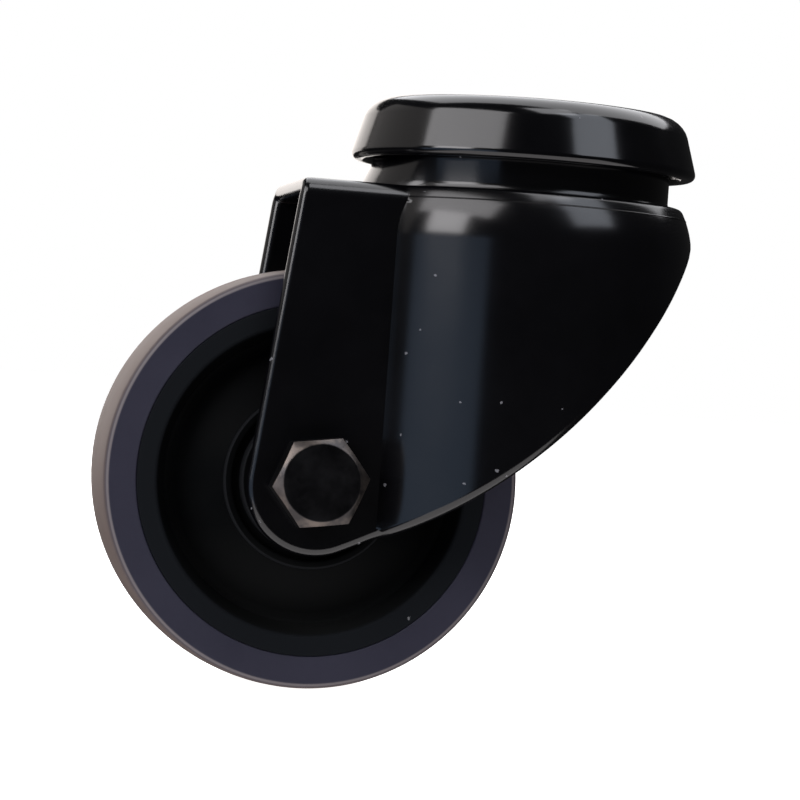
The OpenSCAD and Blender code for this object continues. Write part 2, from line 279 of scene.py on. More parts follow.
# %% [markdown]
# ## The fork's pressing, as a shell
# The levels run from the crown's edge round the bend and down the walls, and neighbours are bridged. The
# legs have a plain round bend. The cup was drawn in more gently: a tight round at the crown, then a long
# flat dome whose slope fades into the upright wall. That dome is what catches the broad soft lights under
# the crown. The shell is a skin with no thickness so far.

# %% Draw the bend and the walls
BEND_STEPS = 12
DOME_R = 12.0
RIDGE_R = 0.8
RIDGE_TILT = radians(28)
RIDGE_H = RIDGE_R * (1 - sin(RIDGE_TILT))
DOME_MID = DOME_R * sin(RIDGE_TILT) + RIDGE_H
CREASE_HOLD = 1.5
DRAW = 60.0


def leg_inset(drop):
    """How far the leg's wall is set in at a depth below the crown."""
    rise = max(0.0, BEND_R - drop)
    return BEND_R - sqrt(BEND_R ** 2 - rise ** 2)


def cup_inset(drop):
    """How far the cup's wall is set in at a depth below the crown."""
    dome = DOME_R - sqrt(DOME_R ** 2 - max(0.0, DOME_MID - max(drop, RIDGE_H)) ** 2)
    ridge = RIDGE_R * cos(RIDGE_TILT) - sqrt(RIDGE_R ** 2 - (RIDGE_R - min(drop, RIDGE_H)) ** 2)
    return dome + ridge


press = bmesh.new()
drops = [BEND_R * (1 - cos(pi / 2 * step / BEND_STEPS)) for step in range(BEND_STEPS + 1)]
crease_low = CROWN_Z - edge_height(CREASE_X) - CREASE_HOLD
drops += [2.8, 3.4, 4.0, 4.6, 5.3, DOME_MID, crease_low, DRAW]
above = []
for drop in drops:
    inset = leg_inset(drop)
    below = level(press, inset, cup_inset(drop) - inset, CROWN_Z - drop)
    if above:
        bmesh.ops.bridge_loops(press, edges=above + below)
    above = below
bmesh.ops.remove_doubles(press, verts=press.verts, dist=1e-6)
print("faces in the shell:", len(press.faces))

# %% [markdown]
# ## Trimming the shell
# On the cup, the lowest vertices are lifted to the long curve, and those that come to lie together are
# merged. The flat legs are cut with straight knives, as their outline bulges everywhere: a bisecting plane
# is laid along the front edge, then at small turns round the leg's end, then along the long curve as far
# as the crease. Each cut takes away what lies outside it. The last level was only there to hold the
# crease's lower end, so its lines across the flat legs are dissolved.

# %% Lift the cup's edge and cut the legs
NEAR_EDGE = 1.2
LIFT_MERGE = 0.4
CUT_MERGE = 0.02
lifted = []
for vertex in press.verts:
    if vertex.co.x < CREASE_X * MM - 1e-6:
        continue
    if vertex.co.z < (edge_height(vertex.co.x / MM) + NEAR_EDGE) * MM:
        vertex.co.xy *= CUP_R * MM / vertex.co.xy.length
        vertex.co.z = edge_height(vertex.co.x / MM) * MM
        lifted.append(vertex)
bmesh.ops.remove_doubles(press, verts=lifted, dist=LIFT_MERGE * MM)
front_angle = pi - FRONT_LEAN
foot = end_mid - arc_mid
foot_angle = atan2(foot.y, foot.x) + tau
crease_end = Vector((CREASE_X, edge_height(CREASE_X))) - arc_mid
crease_angle = atan2(crease_end.y, crease_end.x) + tau
END_CUTS = 28
EDGE_CUTS = 8
for count in range(END_CUTS):
    cut(press, end_mid, LEG_END_R, front_angle + (foot_angle - front_angle) * count / END_CUTS)
for count in range(EDGE_CUTS + 1):
    cut(press, arc_mid, EDGE_R, foot_angle + (crease_angle - foot_angle) * count / EDGE_CUTS)
low_z = (CROWN_Z - crease_low) * MM
on_low = {v for v in press.verts if abs(v.co.z - low_z) < 1e-6 and v.co.x < CREASE_X * MM + 1e-6}
low_lines = [edge for edge in press.edges if on_low.issuperset(edge.verts)]
bmesh.ops.dissolve_edges(press, edges=low_lines, use_verts=True, use_face_split=False)
bmesh.ops.remove_doubles(press, verts=press.verts, dist=CUT_MERGE * MM)
print(f"legs end at z {min(v.co.z for v in press.verts) / MM:.2f}")

# %% [markdown]
# ## Opening the crown and giving the sheet its thickness
# A collar is drawn up from the crown round the swivel, so the crown gets a round hole there, and the collar
# is turned as a ring of its own that overlaps its edge. A few lines across the crown keep the shading of
# its front edge from running into the flat behind it. The skin then gets the sheet's thickness inwards, and
# a bevel modifier rolls the cut edges, which carry a bevel weight. Paint shows that roll as a bright line.

# %% Open the crown and thicken the sheet
HOLE_R = 17.2
CROWN_LINES = (1.3, 3.0, 5.5)
at_crown = [v for v in press.verts if abs(v.co.z - CROWN_Z * MM) < 1e-6]
crown_ends = sorted(at_crown, key=lambda v: v.co.x)[:2]
press.edges.new(crown_ends)
crown_rim = [edge for edge in press.edges if edge.verts[0] in at_crown and edge.verts[1] in at_crown]
ring = bmesh.ops.create_circle(press, cap_ends=False, radius=HOLE_R * MM, segments=96,
                               matrix=Matrix.Translation((0, 0, CROWN_Z * MM)))
ring_edges = list({edge for vertex in ring["verts"] for edge in vertex.link_edges})
crown = bmesh.ops.triangle_fill(press, use_beauty=True, use_dissolve=False, edges=crown_rim + ring_edges,
                                normal=(0, 0, 1))
crown_faces = [item for item in crown["geom"] if isinstance(item, bmesh.types.BMFace)]
for back in CROWN_LINES:
    crown_edges = {edge for face in crown_faces for edge in face.edges}
    crown_verts = {vertex for face in crown_faces for vertex in face.verts}
    behind_front = crown_ends[0].co + Vector((back * MM, 0, 0))
    parts = bmesh.ops.bisect_plane(press, geom=[*crown_verts, *crown_edges, *crown_faces], dist=1e-7,
                                   plane_co=behind_front, plane_no=(1, 0, 0), clear_outer=False,
                                   clear_inner=False)
    crown_faces = [item for item in parts["geom"] if isinstance(item, bmesh.types.BMFace)]
bmesh.ops.recalc_face_normals(press, faces=press.faces)
top_face = max(press.faces, key=lambda face: face.calc_center_median().z)
if top_face.normal.z < 0:
    bmesh.ops.reverse_faces(press, faces=press.faces)
for edge in press.edges:
    edge.smooth = edge.calc_face_angle(0.0) < radians(40)
softness = press.edges.layers.float.new("bevel_weight_edge")
for edge in press.edges:
    edge[softness] = float(edge.is_boundary)
fork = keep(press, "fork_pressing", "fork_body", ["fork"])
wall = fork.modifiers.new("Sheet", "SOLIDIFY")
wall.thickness = SHEET * MM
wall.offset = -1
wall.use_even_offset = True
soft = fork.modifiers.new("Soft edges", "BEVEL")
soft.width = 0.95 * MM
soft.segments = 5
soft.limit_method = "WEIGHT"
soft.use_clamp_overlap = False
even_shading(fork)

# %% [markdown]
# ## The collar
# The middle of the fork rises into a collar with a flat platform. Balls run in a groove on top of the
# platform, under the head, and in another below it. The foot of the collar runs out into the crown in a
# hollow round, whose last edge lies in the sheet. Towards the legs, where the crown is wide, the collar was
# drawn up from a ramp, so there its wall is pushed out to a slope that fades away round the sides.

# %% Turn the collar
COLLAR_R = 17.9
COLLAR_TOP = -5.5
RAMP_Z = -8.3
collar = turn([
    (20.3, CROWN_Z - 1.35, 0.0),
    (COLLAR_R, CROWN_Z - 0.3, 1.0),
    (COLLAR_R, RAMP_Z, 0.0),
    (COLLAR_R, COLLAR_TOP, 0.35),
    (17.2, -4.8, 0.35),
    (15.7, -4.8, 0.2),
    (15.0, -5.75, 0.5),
    (12.6, -5.75, 0.5),
    (11.9, -4.8, 0.2),
    (8.4, -4.8, 0.3),
    (8.4, -7.2, 0.3),
    (8.95, -7.2, 0.1),
    (9.6, -6.3, 0.5),
    (12.0, -6.3, 0.5),
    (12.65, -7.2, 0.2),
    (16.2, -7.2, 0.6),
    (17.3, CROWN_Z - 1.9, 0.2),
    (17.7, CROWN_Z - 1.9, 0.0),
    (17.7, CROWN_Z - 1.5, 0.0),
    (20.3, CROWN_Z - 1.5, 0.0),
])

# %% Push the ramp out towards the legs
for vertex in collar.verts:
    out = vertex.co.xy.length / MM
    height = vertex.co.z / MM
    ahead = min(1.0, max(0.0, -vertex.co.x / MM / out - 0.78) / 0.17)
    slope = 0.6 * min(1.0, max(0.0, COLLAR_TOP - height) / 2.8) + 1.2 * max(0.0, RAMP_Z - height) / 2.7
    if out > COLLAR_R - 0.01 and height > CROWN_Z - 0.5:
        vertex.co.xy *= max(out, COLLAR_R + ahead * slope) / out
collar_ring = keep(collar, "fork_collar", "fork_body")
even_shading(collar_ring)

# %% [markdown]
# ## The axle bolt
# The bolt is a turned blank whose head is milled to a hexagon. The lathe makes the shank and a head with a
# chamfered crown, then six bisecting planes cut the flats, and each cut is filled. The chamfer then meets
# the flats in the curved lines that every hexagon bolt has.

# %% Turn the bolt and mill its head
HEX_AF = 10.0
HEAD_H = 4.0
SHANK_R = 3.0
NUT_H = 4.4
NUT_RING = 1.6
THREAD_END = 2 * LEG_OUT + NUT_H + NUT_RING + 1.5
CHAMFER_R = 4.35
BLANK_R = HEX_AF / 2 / cos(pi / 6) + 0.3
CHAMFER_DROP = (BLANK_R - CHAMFER_R) * tan(radians(30))


def mill_hexagon(bm, turned_by):
    """Cuts six flats round Z on the wide part of a blank, and fills each cut."""
    for side in range(6):
        angle = radians(turned_by) + pi / 6 + side * pi / 3
        out = Vector((cos(angle), sin(angle), 0))
        geom = bm.verts[:] + bm.edges[:] + bm.faces[:]
        made = bmesh.ops.bisect_plane(bm, geom=geom, dist=1e-7, plane_co=out * HEX_AF / 2 * MM,
                                      plane_no=out, clear_outer=True, clear_inner=False)
        edges = [item for item in made["geom_cut"] if isinstance(item, bmesh.types.BMEdge)]
        bmesh.ops.edgeloop_fill(bm, edges=edges)
    bmesh.ops.recalc_face_normals(bm, faces=bm.faces)
    print(f"six flats milled, {HEX_AF:.1f} mm across")


bolt = turn([
    (0.0, HEAD_H, 0.0),
    (4.5, HEAD_H, 0.15),
    (BLANK_R, HEAD_H - CHAMFER_DROP, 0.0),
    (BLANK_R, 0.0, 0.0),
    (SHANK_R, 0.0, 0.0),
    (SHANK_R, -2 * LEG_OUT - NUT_H, 0.0),
    (2.6, -2 * LEG_OUT - NUT_H - 0.4, 0.0),
    (2.6, -THREAD_END + 0.5, 0.0),
    (2.2, -THREAD_END, 0.0),
    (0.0, -THREAD_END, 0.0),
], closed=False, steps=96)
mill_hexagon(bolt, 8)
lay_on_axle(bolt, -LEG_OUT)
axle_bolt = keep(bolt, "hexagon_bolt", "fork_body", ["axle_bolt"])
soft_edges(axle_bolt, 0.12, 25)
even_shading(axle_bolt)

# %% [markdown]
# ## The bolt's thread
# A millimetre and a half of thread stands out of the nut. A small triangle is spun and lifted by the pitch
# at each turn, which winds a true helix round the core, and its two ends are closed.

# %% Wind the thread
PITCH = 1.0
TURNS = 3
STEPS_A_TURN = 36
thread = bmesh.new()
tooth = [(2.55, 0.05), (3.0, 0.5), (2.55, 0.95)]
tooth_points = [thread.verts.new((radius * MM, 0, height * MM)) for radius, height in tooth]
for index in range(3):
    thread.edges.new((tooth_points[index], tooth_points[(index + 1) % 3]))
bmesh.ops.spin(thread, geom=thread.verts[:] + thread.edges[:], cent=(0, 0, 0), axis=(0, 0, 1),
               dvec=(0, 0, PITCH * MM / STEPS_A_TURN), angle=tau * TURNS, steps=STEPS_A_TURN * TURNS,
               use_merge=False, use_normal_flip=False, use_duplicate=False)
open_edges = [edge for edge in thread.edges if edge.is_boundary]
bmesh.ops.holes_fill(thread, edges=open_edges, sides=3)
bmesh.ops.recalc_face_normals(thread, faces=thread.faces)
THREAD_LOW = -THREAD_END + 0.1
bmesh.ops.translate(thread, verts=thread.verts, vec=(0, 0, THREAD_LOW * MM))
lay_on_axle(thread, -LEG_OUT)
bolt_thread = keep(thread, "bolt_thread", "fork_body")
bolt_thread.data.set_sharp_from_angle(angle=radians(30))

# %% [markdown]
# ## The lock nut
# On the far leg sits a nut with a round collar that grips a nylon ring. It is milled like the bolt, with a
# chamfer at both ends, and its collar is rolled in over the ring.

# %% Turn and mill the nut
nut = turn([
    (SHANK_R, 0.0, 0.2),
    (CHAMFER_R, 0.0, 0.1),
    (BLANK_R, CHAMFER_DROP, 0.0),
    (BLANK_R, NUT_H - CHAMFER_DROP, 0.0),
    (4.5, NUT_H - 0.05, 0.15),
    (4.5, NUT_H + NUT_RING / 2, 0.4),
    (3.9, NUT_H + NUT_RING, 0.1),
    (3.9, NUT_H, 0.0),
    (SHANK_R, NUT_H, 0.0),
], steps=96)
mill_hexagon(nut, -20)
lay_on_axle(nut, LEG_OUT, turned_over=True)
axle_nut = keep(nut, "lock_nut", "fork_body", ["axle_nut"])
soft_edges(axle_nut, 0.12, 25)
even_shading(axle_nut)

# %% [markdown]
# ## The wheel's hub
# The hub is moulded plastic: a boss that runs against the legs, a low ring round it, a web that slopes into
# a deep dish, and a flat rim inside the tyre. Both sides are alike, so one side's section is written down
# and the other is its mirror image. A ridge round the hub keys the tyre.

# %% Turn the hub
hub_side = [
    (4.06, LEG_IN - 0.3, 0.3),
    (8.6, LEG_IN - 0.3, 0.4),
    (8.6, TYRE_HALF - 1.4, 0.25),
    (9.5, TYRE_HALF - 1.4, 0.25),
    (9.5, TYRE_HALF - 0.2, 0.3),
    (10.5, TYRE_HALF - 0.2, 0.3),
    (10.5, TYRE_HALF - 0.8, 0.2),
    (16.3, TYRE_HALF - 4.2, 0.5),
    (17.2, TYRE_HALF - 4.2, 0.4),
    (18.4, TYRE_HALF - 0.3, 0.4),
    (20.75, TYRE_HALF, 0.1),
    (20.75, 3.0, 0.2),
    (21.95, 3.0, 0.2),
]
hub_far = [(radius, -height, rounding) for radius, height, rounding in reversed(hub_side)]
hub = turn(hub_side + hub_far, steps=160)
lay_on_axle(hub)
wheel_hub = keep(hub, "dished_hub", "wheel", ["wheel_hub"])
even_shading(wheel_hub)

# %% [markdown]
# ## The tyre
# The tyre is a band of rubber with square shoulders, moulded on the hub, with a small lip where it meets
# the rim. Its tread is slightly crowned, so it rolls on its middle, and a faint mould line runs there.

# %% Turn the tyre
TREAD_R = 100.0


def tread_at(y):
    """The crowned tread's radius from the axle, at a distance from the wheel's middle plane."""
    return WHEEL_R - TREAD_R + sqrt(TREAD_R ** 2 - y ** 2)


tyre_side = [
    (20.75, 3.0, 0.2),
    (20.75, TYRE_HALF - 0.05, 0.3),
    (tread_at(TYRE_HALF), TYRE_HALF, 0.75),
    (tread_at(6.8), 6.8, 0.0),
    (tread_at(5.0), 5.0, 0.0),
    (tread_at(3.2), 3.2, 0.0),
    (tread_at(1.6), 1.6, 0.0),
    (tread_at(0.3) - 0.02, 0.3, 0.0),
    (WHEEL_R, 0.08, 0.0),
]
tyre_far = [(radius, -height, rounding) for radius, height, rounding in reversed(tyre_side)]
tyre = turn(tyre_side + tyre_far + [(21.95, -3.0, 0.2), (21.95, 3.0, 0.2)], steps=192)
lay_on_axle(tyre)
tyre_piece = keep(tyre, "rubber_tyre", "wheel", ["tyre"])
even_shading(tyre_piece)

# %% [markdown]
# ## Effects that several finishes share
# Paint, plastic and rubber all carry some dust, all vary a little in gloss, and all have a fine surface
# texture. Each effect is a node group that puts out a mask or a height, so that every finish can use
# it with its own scale. All of them read Object coordinates in metres, so nothing slides on a turned piece.


# %% Node helpers
def add_node(tree, kind, **settings):
    """Adds a node and sets its own properties."""
    made = tree.nodes.new(kind)
    for name, value in settings.items():
        setattr(made, name, value)
    return made


def new_group(name, inputs, outputs):
    """Starts a node group with named sockets: inputs are (name, type, value), outputs (name, type)."""
    group = bpy.data.node_groups.new(name, "ShaderNodeTree")
    for label, kind, value in inputs:
        socket = group.interface.new_socket(label, in_out="INPUT", socket_type=kind)
        if value is not None:
            socket.default_value = value
    for label, kind in outputs:
        group.interface.new_socket(label, in_out="OUTPUT", socket_type=kind)
    return group, add_node(group, "NodeGroupInput"), add_node(group, "NodeGroupOutput")


def place_group(tree, group, coordinates, **values):
    """Places a group in a material, feeds it coordinates and sets its other inputs."""
    made = add_node(tree, "ShaderNodeGroup", node_tree=group)
    tree.links.new(coordinates, made.inputs["Coordinates"])
    for name, value in values.items():
        made.inputs[name.replace("_", " ")].default_value = value
    return made


# %% Dust specks: small dots in a few cells of a Voronoi pattern
VECTOR = "NodeSocketVector"
FLOAT = "NodeSocketFloat"
specks, start, end = new_group(
    "Dust specks",
    [("Coordinates", VECTOR, None), ("Scale", FLOAT, 900.0), ("Share", FLOAT, 0.05), ("Size", FLOAT, 0.2)],
    [("Mask", FLOAT)],
)
ragged = add_node(specks, "ShaderNodeTexNoise")
ragged.inputs["Scale"].default_value = 2500.0
specks.links.new(start.outputs["Coordinates"], ragged.inputs["Vector"])
stray = add_node(specks, "ShaderNodeVectorMath", operation="MULTIPLY_ADD")
specks.links.new(ragged.outputs["Color"], stray.inputs[0])
stray.inputs[1].default_value = (0.0005, 0.0005, 0.0005)
specks.links.new(start.outputs["Coordinates"], stray.inputs[2])
cells = add_node(specks, "ShaderNodeTexVoronoi", feature="F1")
specks.links.new(stray.outputs[0], cells.inputs["Vector"])
specks.links.new(start.outputs["Scale"], cells.inputs["Scale"])
chosen = add_node(specks, "ShaderNodeSeparateColor")
specks.links.new(cells.outputs["Color"], chosen.inputs["Color"])
few = add_node(specks, "ShaderNodeMath", operation="LESS_THAN")
specks.links.new(chosen.outputs["Red"], few.inputs[0])
specks.links.new(start.outputs["Share"], few.inputs[1])
size = add_node(specks, "ShaderNodeMath", operation="MULTIPLY")
specks.links.new(chosen.outputs["Green"], size.inputs[0])
specks.links.new(start.outputs["Size"], size.inputs[1])
dot = add_node(specks, "ShaderNodeMath", operation="LESS_THAN")
specks.links.new(cells.outputs["Distance"], dot.inputs[0])
specks.links.new(size.outputs[0], dot.inputs[1])
mask = add_node(specks, "ShaderNodeMath", operation="MULTIPLY")
specks.links.new(few.outputs[0], mask.inputs[0])
specks.links.new(dot.outputs[0], mask.inputs[1])
specks.links.new(mask.outputs[0], end.inputs["Mask"])
print("group made:", specks.name)

# %% Clouding: a slow and a fine noise mixed, for colour and gloss that are never quite even
clouding, start, end = new_group(
    "Clouding",
    [("Coordinates", VECTOR, None), ("Broad", FLOAT, 60.0), ("Fine", FLOAT, 700.0)],
    [("Value", FLOAT), ("Height", FLOAT)],
)
broad = add_node(clouding, "ShaderNodeTexNoise")
broad.inputs["Detail"].default_value = 3.0
clouding.links.new(start.outputs["Coordinates"], broad.inputs["Vector"])
clouding.links.new(start.outputs["Broad"], broad.inputs["Scale"])
fine = add_node(clouding, "ShaderNodeTexNoise")
fine.inputs["Detail"].default_value = 2.0
clouding.links.new(start.outputs["Coordinates"], fine.inputs["Vector"])
clouding.links.new(start.outputs["Fine"], fine.inputs["Scale"])
blend = add_node(clouding, "ShaderNodeMath", operation="MULTIPLY_ADD")
clouding.links.new(fine.outputs["Fac"], blend.inputs[0])
blend.inputs[1].default_value = 0.35
clouding.links.new(broad.outputs["Fac"], blend.inputs[2])
clouding.links.new(blend.outputs[0], end.inputs["Value"])
clouding.links.new(fine.outputs["Fac"], end.inputs["Height"])
print("group made:", clouding.name)

# %% Axle bands: a mask that is 1 between two radii round the axle, with soft sides
bands, start, end = new_group(
    "Axle bands",
    [
        ("Coordinates", VECTOR, None),
        ("Inner", FLOAT, 0.004),
        ("Outer", FLOAT, 0.006),
        ("Soft", FLOAT, 0.0003),
    ],
    [("Mask", FLOAT)],
)
centred = add_node(bands, "ShaderNodeVectorMath", operation="SUBTRACT")
bands.links.new(start.outputs["Coordinates"], centred.inputs[0])
centred.inputs[1].default_value = AXLE
flat = add_node(bands, "ShaderNodeVectorMath", operation="MULTIPLY")
bands.links.new(centred.outputs[0], flat.inputs[0])
flat.inputs[1].default_value = (1, 0, 1)
distance = add_node(bands, "ShaderNodeVectorMath", operation="LENGTH")
bands.links.new(flat.outputs[0], distance.inputs[0])
past_inner = add_node(bands, "ShaderNodeMath", operation="SUBTRACT")
bands.links.new(distance.outputs["Value"], past_inner.inputs[0])
bands.links.new(start.outputs["Inner"], past_inner.inputs[1])
before_outer = add_node(bands, "ShaderNodeMath", operation="SUBTRACT")
bands.links.new(start.outputs["Outer"], before_outer.inputs[0])
bands.links.new(distance.outputs["Value"], before_outer.inputs[1])
nearer = add_node(bands, "ShaderNodeMath", operation="MINIMUM")
bands.links.new(past_inner.outputs[0], nearer.inputs[0])
bands.links.new(before_outer.outputs[0], nearer.inputs[1])
rise = add_node(bands, "ShaderNodeMapRange", interpolation_type="SMOOTHSTEP")
bands.links.new(nearer.outputs[0], rise.inputs["Value"])
rise.inputs["From Min"].default_value = 0.0
bands.links.new(start.outputs["Soft"], rise.inputs["From Max"])
bands.links.new(rise.outputs["Result"], end.inputs["Mask"])
print("group made:", bands.name)


# %% [markdown]
# ## The finishes
# A finish starts from one Principled shader. Small helpers mix two colours or two gloss values by a mask
# and add a fine bump, and each finish is then a few lines with its own numbers.


# %% Helpers for finishes
CLOUD_LOW = 0.4
CLOUD_HIGH = 0.95


def new_finish(name, **constants):
    """Starts a material with constant sockets; returns it, its tree, its shader and its coordinates."""
    finish = bpy.data.materials.new(name)
    finish.use_nodes = True
    tree = finish.node_tree
    shader = tree.nodes["Principled BSDF"]
    for label, value in constants.items():
        shader.inputs[label.replace("_", " ")].default_value = value
    place = add_node(tree, "ShaderNodeTexCoord")
    return finish, tree, shader, place.outputs["Object"]


def mix_colours(tree, mask, first, second):
    """Mixes two colours by a mask; each may be a colour or another node's output."""
    made = add_node(tree, "ShaderNodeMix", data_type="RGBA")
    tree.links.new(mask, made.inputs["Factor"])
    for value, socket in ((first, made.inputs[6]), (second, made.inputs[7])):
        if isinstance(value, tuple):
            socket.default_value = (*value, 1.0)
        else:
            tree.links.new(value, socket)
    return made.outputs[2]


def map_value(tree, value, low, high, from_low=0.0, from_high=1.0):
    """Maps a value that varies over the surface to a new range."""
    made = add_node(tree, "ShaderNodeMapRange")
    tree.links.new(value, made.inputs["Value"])
    made.inputs["From Min"].default_value = from_low
    made.inputs["From Max"].default_value = from_high
    made.inputs["To Min"].default_value = low
    made.inputs["To Max"].default_value = high
    return made.outputs["Result"]


def clouded(tree, cloud, low, high):
    """Maps the usual range of a clouding group's value to a new one."""
    return map_value(tree, cloud.outputs["Value"], low, high, CLOUD_LOW, CLOUD_HIGH)


def add_bump(tree, shader, height, strength, distance):
    """Feeds a height to the shader's normal."""
    made = add_node(tree, "ShaderNodeBump")
    made.inputs["Strength"].default_value = strength
    made.inputs["Distance"].default_value = distance
    tree.links.new(height, made.inputs["Height"])
    tree.links.new(made.outputs["Normal"], shader.inputs["Normal"])


# %% [markdown]
# ### Gloss black paint
# Head and fork are dipped in thick black enamel. It is almost black, mirrors the lights with soft sides,
# has the faint waviness of wet paint, and a few specks of dust lie on it. The head was polished by
# handling, so the coat is glossier there than on the fork, and the gloss changes with the height.

# %% Mix the black paint
black_paint, tree, shader, place = new_finish("black_paint")
cloud = place_group(tree, clouding, place, Broad=90.0, Fine=420.0)
dust = place_group(tree, specks, place, Scale=850.0, Share=0.06, Size=0.22)
tone = mix_colours(tree, clouded(tree, cloud, 0.0, 1.0), (0.0012, 0.0012, 0.0016),
                   (0.002, 0.002, 0.0026))
dusty = mix_colours(tree, dust.outputs["Mask"], tone, (0.13, 0.13, 0.14))
tree.links.new(dusty, shader.inputs["Base Color"])
split = add_node(tree, "ShaderNodeSeparateXYZ")
tree.links.new(place, split.inputs[0])
dulled = add_node(tree, "ShaderNodeMath", operation="MULTIPLY_ADD")
tree.links.new(cloud.outputs["Value"], dulled.inputs[0])
dulled.inputs[1].default_value = 0.06
tree.links.new(map_value(tree, split.outputs["Z"], 0.14, 0.1, -0.0105, -0.0085), dulled.inputs[2])
tree.links.new(dulled.outputs[0], shader.inputs["Roughness"])
add_bump(tree, shader, cloud.outputs["Height"], 0.1, 0.00003)
print("finish:", black_paint.name)

# %% [markdown]
# ### Black plated steel
# Bolt and nut are blackened steel. A lighter ring with tan patches is painted on the turned chamfer of the
# bolt's head as a painted highlight, where the chamfer catches the light, and the flat inside it stays
# darker.

# %% Mix the black steel
black_steel, tree, shader, place = new_finish("black_steel", Metallic=0.85)
cloud = place_group(tree, clouding, place, Broad=250.0, Fine=1500.0)
# painted highlight: a lighter ring with tan patches on the bolt head's chamfer, kept off the flat top
painted_chamfer_highlight = place_group(tree, bands, place, Inner=0.00442, Outer=0.0064, Soft=0.00015)
tone = mix_colours(tree, clouded(tree, cloud, 0.0, 1.0), (0.006, 0.006, 0.007),
                   (0.016, 0.016, 0.018))
patches = map_value(tree, cloud.outputs["Value"], 0.0, 1.0, 0.55, 0.85)
chamfer_highlight_colour = mix_colours(tree, patches, (0.036, 0.033, 0.033), (0.12, 0.1, 0.088))
split = add_node(tree, "ShaderNodeSeparateXYZ")
tree.links.new(place, split.inputs[0])
HEAD_TOP = -LEG_OUT - HEAD_H
on_top = map_value(tree, split.outputs["Y"], 1.0, 0.0, (HEAD_TOP + 0.7) * MM, (HEAD_TOP + 1.0) * MM)
ring_mask = add_node(tree, "ShaderNodeMath", operation="MULTIPLY")
tree.links.new(painted_chamfer_highlight.outputs["Mask"], ring_mask.inputs[0])
tree.links.new(on_top, ring_mask.inputs[1])
tree.links.new(mix_colours(tree, ring_mask.outputs[0], tone, chamfer_highlight_colour), shader.inputs["Base Color"])
tree.links.new(clouded(tree, cloud, 0.26, 0.42), shader.inputs["Roughness"])
add_bump(tree, shader, cloud.outputs["Height"], 0.2, 0.00004)
print("finish:", black_steel.name)

# %% [markdown]
# ### Zinc plate, ball steel and nylon
# These show only from below and from the far side: a dull grey plate on kingpin, race and tube, bright
# ground balls, and a dark nylon ring in the nut.

# %% Mix the zinc plate
plated_steel, tree, shader, place = new_finish("plated_steel", Metallic=1.0)
cloud = place_group(tree, clouding, place, Broad=180.0, Fine=1200.0)
even = clouded(tree, cloud, 0.0, 1.0)
tree.links.new(mix_colours(tree, even, (0.33, 0.33, 0.34), (0.5, 0.5, 0.5)), shader.inputs["Base Color"])
tree.links.new(clouded(tree, cloud, 0.28, 0.45), shader.inputs["Roughness"])
add_bump(tree, shader, cloud.outputs["Height"], 0.2, 0.00003)
print("finish:", plated_steel.name)

# %% Mix the ball steel
ball_steel, tree, shader, place = new_finish("ball_steel", Metallic=1.0)
cloud = place_group(tree, clouding, place, Broad=400.0, Fine=2500.0)
even = clouded(tree, cloud, 0.0, 1.0)
tree.links.new(mix_colours(tree, even, (0.6, 0.6, 0.61), (0.74, 0.74, 0.74)), shader.inputs["Base Color"])
tree.links.new(clouded(tree, cloud, 0.1, 0.2), shader.inputs["Roughness"])
print("finish:", ball_steel.name)

# %% Mix the nylon
nut_nylon, tree, shader, place = new_finish("nut_nylon")
cloud = place_group(tree, clouding, place, Broad=300.0, Fine=2000.0)
even = clouded(tree, cloud, 0.0, 1.0)
tone = mix_colours(tree, even, (0.035, 0.035, 0.04), (0.06, 0.06, 0.066))
tree.links.new(tone, shader.inputs["Base Color"])
tree.links.new(clouded(tree, cloud, 0.4, 0.55), shader.inputs["Roughness"])
add_bump(tree, shader, cloud.outputs["Height"], 0.15, 0.00003)
print("finish:", nut_nylon.name)

# %% [markdown]
# ### The hub's plastic
# Deep black moulded plastic with a fine grain from the tool, duller than the paint, with a few pale specks
# of dust. Light is painted into its colour: the lower part is paler, as painted light from below, the rim's
# face inside the tyre is paler, as painted light, and narrow pale lines on the corners of the boss and of
# the ring round it are painted highlights.

# %% Mix the hub plastic
hub_plastic, tree, shader, place = new_finish("hub_plastic", Specular_IOR_Level=0.012)
cloud = place_group(tree, clouding, place, Broad=140.0, Fine=2600.0)
dust = place_group(tree, specks, place, Scale=520.0, Share=0.03, Size=0.25)
even = clouded(tree, cloud, 0.0, 1.0)
deep = mix_colours(tree, even, (0.0014, 0.0016, 0.0018), (0.0026, 0.0028, 0.003))
split = add_node(tree, "ShaderNodeSeparateXYZ")
tree.links.new(place, split.inputs[0])
# painted light from below: the hub's colour turns paler towards its bottom
painted_light_below = map_value(tree, split.outputs["Z"], 1.0, 0.0, AXLE.z - 0.016, AXLE.z - 0.006)
deep = mix_colours(tree, painted_light_below, deep, (0.0065, 0.0068, 0.0068))
# painted light: the rim's face inside the tyre is given a paler colour
painted_rim_light = place_group(tree, bands, place, Inner=0.0181, Outer=0.022, Soft=0.0005)
tone = mix_colours(tree, painted_rim_light.outputs["Mask"], deep, (0.008, 0.009, 0.0105))
# painted highlights: narrow pale lines on the corners of the boss and of the ring round it
for inner, outer in ((0.0083, 0.0087), (0.0102, 0.0106)):
    corner = place_group(tree, bands, place, Inner=inner, Outer=outer, Soft=0.00012)
    tone = mix_colours(tree, corner.outputs["Mask"], tone, (0.009, 0.0095, 0.0105))
dusty = mix_colours(tree, dust.outputs["Mask"], tone, (0.14, 0.14, 0.145))
tree.links.new(dusty, shader.inputs["Base Color"])
tree.links.new(clouded(tree, cloud, 0.36, 0.52), shader.inputs["Roughness"])
add_bump(tree, shader, cloud.outputs["Height"], 0.2, 0.00003)
print("finish:", hub_plastic.name)
